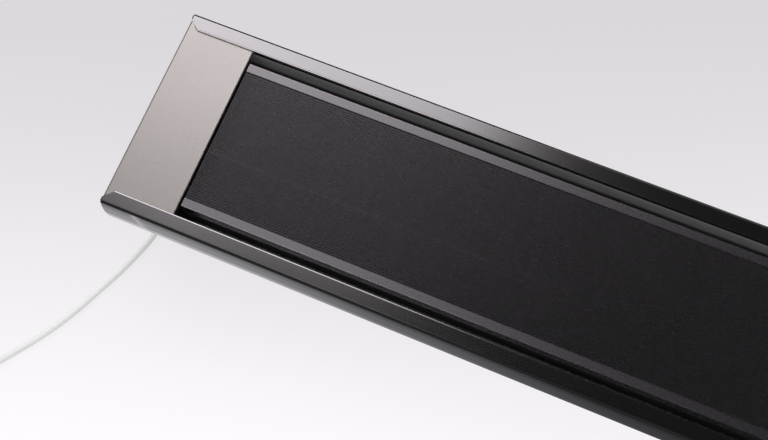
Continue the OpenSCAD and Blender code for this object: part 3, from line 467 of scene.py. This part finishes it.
def make_field():
    """Rows of small pyramids on the floor of the panel's recess."""
    low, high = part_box("radiant_panel")
    x0, x1 = low[0], high[0]
    y0, y1 = low[1] + STRIP_W, high[1] - STRIP_W
    base = high[2] - FIELD_DROP - FIELD_SINK
    nx, ny = round((x1 - x0) / FIELD_PITCH), round((y1 - y0) / FIELD_PITCH)
    dx, dy = (x1 - x0) / nx, (y1 - y0) / ny
    points = [(x0 + i * dx, y0 + j * dy, base) for i in range(nx + 1) for j in range(ny + 1)]
    tips = len(points)
    faces = []
    for i in range(nx):
        for j in range(ny):
            y = y0 + (j + 0.5) * dy
            lift = DIE_LINE_LIFT if abs(y - DIE_LINE_Y) < dy / 2 else FIELD_LIFT
            points.append((x0 + (i + 0.5) * dx, y, base + FIELD_SINK + lift))
            a = i * (ny + 1) + j
            corners = (a, a + ny + 1, a + ny + 2, a + 1)
            tip = tips + i * ny + j
            faces += [(corners[k], corners[(k + 1) % 4], tip) for k in range(4)]
    mesh = bpy.data.meshes.new("panel_texture")
    mesh.from_pydata(points, [], faces)
    mesh.materials.append(FINISHES["panel_dark"])
    field = bpy.data.objects.new("panel_texture", mesh)
    bpy.context.scene.collection.objects.link(field)
    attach(field, "heater")


make_field()

# ---------------------------------------------------------------- floor

FLOOR_SIZE = 60.0
FLOOR_Z = -0.0002
FLOOR_MATTE = 0.12  # the floor's share that takes shadows; the rest is a painted glow at its own level
IMAGE_UP = Vector((-0.372, 0.928))
SEEN_SPAN = (-0.5, 0.5)  # metres towards the top of the picture, for the floor's painted glow, which is lighter lower down in the picture
FLOOR_PAINTED_GLOW = [
    (0.38, (0.99, 0.965, 0.99)), (0.45, (0.955, 0.93, 0.955)), (0.585, (0.852, 0.828, 0.852)),
    (0.66, (0.79, 0.767, 0.79)), (0.73, (0.743, 0.722, 0.743)), (0.835, (0.698, 0.678, 0.698)),
]

# What the polished side mirrors: a colour along X, and a strength along Y.
MIRRORED_SPAN = (-0.5, 0.5)
MIRRORED = [
    (0.0, (0.5, 0.5, 0.51)), (0.14, (0.37, 0.37, 0.38)), (0.25, (0.235, 0.235, 0.245)),
    (0.4, (0.13, 0.13, 0.14)), (0.5, (0.08, 0.08, 0.085)), (0.6, (0.06, 0.06, 0.065)),
    (1.0, (0.06, 0.06, 0.065)),
]
NEAR_SPAN = (-0.2, -0.1)
NEAR = [(0.15, 0.42), (0.4, 1.0), (0.55, 1.0), (0.68, 0.9), (1.0, 0.95)]
NEAR_LEFT = [("x", -0.05, -0.4, 0.0, 0.5), ("y", -0.135, -0.11)]  # stronger by this at the left
BEYOND = [("y", 0.06, 0.1), ("x", 0.52, 0.6), ("y", -0.215, -0.3)]  # the floor all round that
BEYOND_GREY = 0.55


def make_floor():
    bpy.ops.mesh.primitive_plane_add(size=FLOOR_SIZE, location=(0, 0, FLOOR_Z))
    floor = bpy.context.object
    floor.name = "floor"
    material = bpy.data.materials.new("floor")
    t = Tree(material)
    x, y, _ = t.split(t.add("NewGeometry").outputs["Position"])
    places = {"x": x, "y": y}
    up = t.math("ADD", *(t.math("MULTIPLY", a, b) for a, b in zip((x, y), IMAGE_UP)))
    # Painted light: the floor glows in a grade, lighter towards the bottom of the picture, and its
    # matte share has the same colour.
    painted_glow = t.ramp(t.share(up, *SEEN_SPAN), FLOOR_PAINTED_GLOW)
    matte = t.add("BsdfDiffuse", {0: painted_glow}).outputs[0]
    shown = t.mix(FLOOR_MATTE, t.add("Emission", {0: painted_glow}).outputs[0], matte)
    beyond = t.join("MAXIMUM", *(t.step(places[name], *limits) for name, *limits in BEYOND))
    near = t.ramp(t.share(y, *NEAR_SPAN), [(place, grey(value)) for place, value in NEAR])
    near = t.math("MULTIPLY", near, t.math("ADD", t.mask(places, NEAR_LEFT), 1.0))
    near = t.math("MAXIMUM", near, beyond)
    mirrored = t.ramp(t.share(x, *MIRRORED_SPAN), MIRRORED)
    mirrored = t.blend(beyond, mirrored, rgba(grey(BEYOND_GREY)))
    mirror = t.add("Emission", {0: mirrored, 1: near}).outputs[0]
    t.add("OutputMaterial", {0: t.mix(t.add("LightPath").outputs["Is Glossy Ray"], shown, mirror)})
    floor.data.materials.append(material)


# ---------------------------------------------------------------- world

# Where a mirrored ray goes. "x", "y" and "z" are its direction. "rise" is its slope towards +Y and
# "side" its direction towards +X, both on a chart that is scaled and moved by these values. "slant"
# is "side" with a lean below SLANT_TOP.
LEAST_Z = 0.15  # lower rays count as this high
CHART_SCALE = 0.8328
CHART_SHIFT = (-0.0588, 0.021)
SLANT_TOP = 0.341
SLANT_LEAN = 0.37

# Each light that the metal mirrors is a product of smooth steps.
MAIN_LAMP = [
    ("slant", -0.112, -0.178),
    ("slant", -0.15, -0.39, 0.94, 1.56),
    ("rise", 0.19, 0.3),
    ("rise", 1.7, 0.95, 0.03, 1.0),
    ("rise", 0.45, 0.9, 1.0, 2.1),
]
LOW_LAMP = [("side", -0.112, -0.2, 0.0, 1.7), ("rise", 0.12, 0.03), ("rise", -0.75, -0.4)]
SPOT = [
    ("side", -0.345, -0.322),
    ("side", -0.262, -0.315, 0.0, 0.24),
    ("rise", 0.15, 0.19),
    ("rise", 0.23, 0.212),
]
LAMPS_END = ("side", -0.48, -0.4)
GLOW = [("side", 0.25, -0.45, 0.05, 1.0), ("z", 0.85, 0.3, 0.0, 0.058)]
LEAST_LIGHT = 0.005

# Pale surroundings that show in the metal from other sides than the photo's.
ASIDE = (0.38, 0.58)  # of x, to both sides
LOW_Z = (0.4, 0.2)
LOW_Y = (0.7, 0.35)  # of y, to both sides
HIGH_Z = (0.66, 0.45)
HIGH_Y = ((0.05, -0.15), (0.38, 0.54))
PALE = 0.6

MIRRORED_TINT = (1.0, 0.99, 0.995)
SOFT_TINT, SOFT_LIGHT = (0.98, 0.985, 1.0), 0.85
BACKDROP = (0.86, 0.86, 0.87)


def ray_places(t):
    """A mirrored ray's coordinates, by which the lamps are laid out."""
    x, y, z = t.split(t.add("TexCoord").outputs["Generated"])
    height = t.math("MAXIMUM", z, LEAST_Z)
    u, rise = (
        t.math("MULTIPLY_ADD", t.math("DIVIDE", a, height), CHART_SCALE, shift)
        for a, shift in zip((x, y), CHART_SHIFT)
    )
    size = t.math("MULTIPLY_ADD", u, u, t.math("MULTIPLY_ADD", rise, rise, 1.0))
    side = t.math("DIVIDE", u, t.math("SQRT", size))
    below = t.math("MAXIMUM", t.math("SUBTRACT", SLANT_TOP, rise), 0.0)
    slant = t.math("MULTIPLY_ADD", below, SLANT_LEAN, side)
    return {"x": x, "y": y, "z": z, "rise": rise, "side": side, "slant": slant}


def surroundings(t, x, y, z):
    """The pale surroundings' strength, low all round and higher towards the corners."""
    aside = t.step(t.math("ABSOLUTE", x), *ASIDE)
    around = t.math("MAXIMUM", t.step(t.math("ABSOLUTE", y), *LOW_Y), aside)
    low = t.math("MULTIPLY", t.step(z, *LOW_Z), around)
    across = t.math("MAXIMUM", *(t.step(y, *limits) for limits in HIGH_Y))
    high = t.join("MULTIPLY", t.step(z, *HIGH_Z), aside, across)
    return t.math("MULTIPLY", t.math("MAXIMUM", low, high), PALE)


def make_world():
    world = bpy.data.worlds.new("studio")
    bpy.context.scene.world = world
    t = Tree(world)
    places = ray_places(t)
    lamps = t.join("ADD", *(t.mask(places, lamp) for lamp in (MAIN_LAMP, LOW_LAMP, SPOT)))
    lamps = t.math("MULTIPLY", lamps, t.mask(places, [LAMPS_END]))
    pale = surroundings(t, places["x"], places["y"], places["z"])
    strength = t.join("ADD", lamps, LEAST_LIGHT, t.mask(places, GLOW), pale)
    rays = t.add("LightPath").outputs
    mirrored, soft, plain = (
        t.add("Background", {0: rgba(tint), 1: light}).outputs[0]
        for tint, light in ((MIRRORED_TINT, strength), (SOFT_TINT, SOFT_LIGHT), (BACKDROP, 1.0))
    )
    lit = t.mix(rays["Is Glossy Ray"], soft, mirrored)
    t.add("OutputWorld", {0: t.mix(rays["Is Camera Ray"], lit, plain)})


# ---------------------------------------------------------------- key light

KEY_AT = Vector((-1.2, 0.9, 2.0))
KEY_SIZE = 1.6
KEY_POWER = 22.0


def make_key():
    """A soft lamp from the upper left, which gives the shadow and isn't mirrored."""
    data = bpy.data.lights.new("key", "AREA")
    data.shape, data.size, data.energy = "SQUARE", KEY_SIZE, KEY_POWER
    key = bpy.data.objects.new("key", data)
    key.location = KEY_AT
    key.rotation_euler = (-KEY_AT).to_track_quat("-Z", "Y").to_euler()
    key.visible_glossy = False
    bpy.context.scene.collection.objects.link(key)


make_floor()
make_world()
make_key()

bpy.context.scene.view_settings.view_transform = "Standard"
